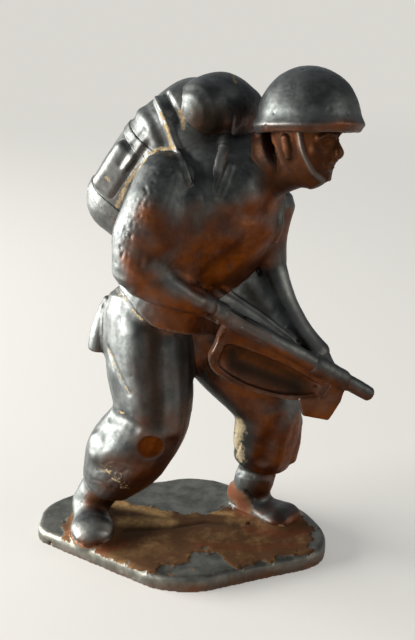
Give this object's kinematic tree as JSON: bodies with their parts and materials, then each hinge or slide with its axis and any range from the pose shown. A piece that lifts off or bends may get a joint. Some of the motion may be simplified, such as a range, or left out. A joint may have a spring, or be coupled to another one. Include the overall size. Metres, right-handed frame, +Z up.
{
  "type": "toy soldier figure",
  "caption": "Cast-metal toy soldier striding with a gun held low, in a brimmed helmet with a pack and blanket roll, on a flat irregular base; most of the paint is worn off.",
  "frame": {"origin": "on the underside of the base, below the middle of the figure's stride", "axes": "+X is the way the figure strides, +Y its far side (its left), +Z up"},
  "size_m": [0.0398, 0.0242, 0.0571],
  "materials": {
    "cast_metal": "satin",
    "ground_paint": "worn ochre paint over bare metal"
  },
  "bodies": {
    "root": {"base_plate": "ground_paint", "blanket_roll": "cast_metal", "collar": "cast_metal", "gun_barrel": "cast_metal", "gun_body": "cast_metal", "gun_magazine": "cast_metal", "gun_sling": "cast_metal", "head": "cast_metal", "helmet": "cast_metal", "jacket": "cast_metal", "left_boot": "cast_metal", "left_hand": "cast_metal", "left_shoulder_strap": "cast_metal", "left_sleeve": "cast_metal", "left_trouser_leg": "cast_metal", "pack_band_lower": "cast_metal", "pack_band_upper": "cast_metal", "pack_body": "cast_metal", "pack_pouch": "cast_metal", "right_boot": "cast_metal", "right_hand": "cast_metal", "right_shoulder_strap": "cast_metal", "right_sleeve": "cast_metal", "right_trouser_leg": "cast_metal", "scabbard": "cast_metal"}
  },
  "joints": []
}
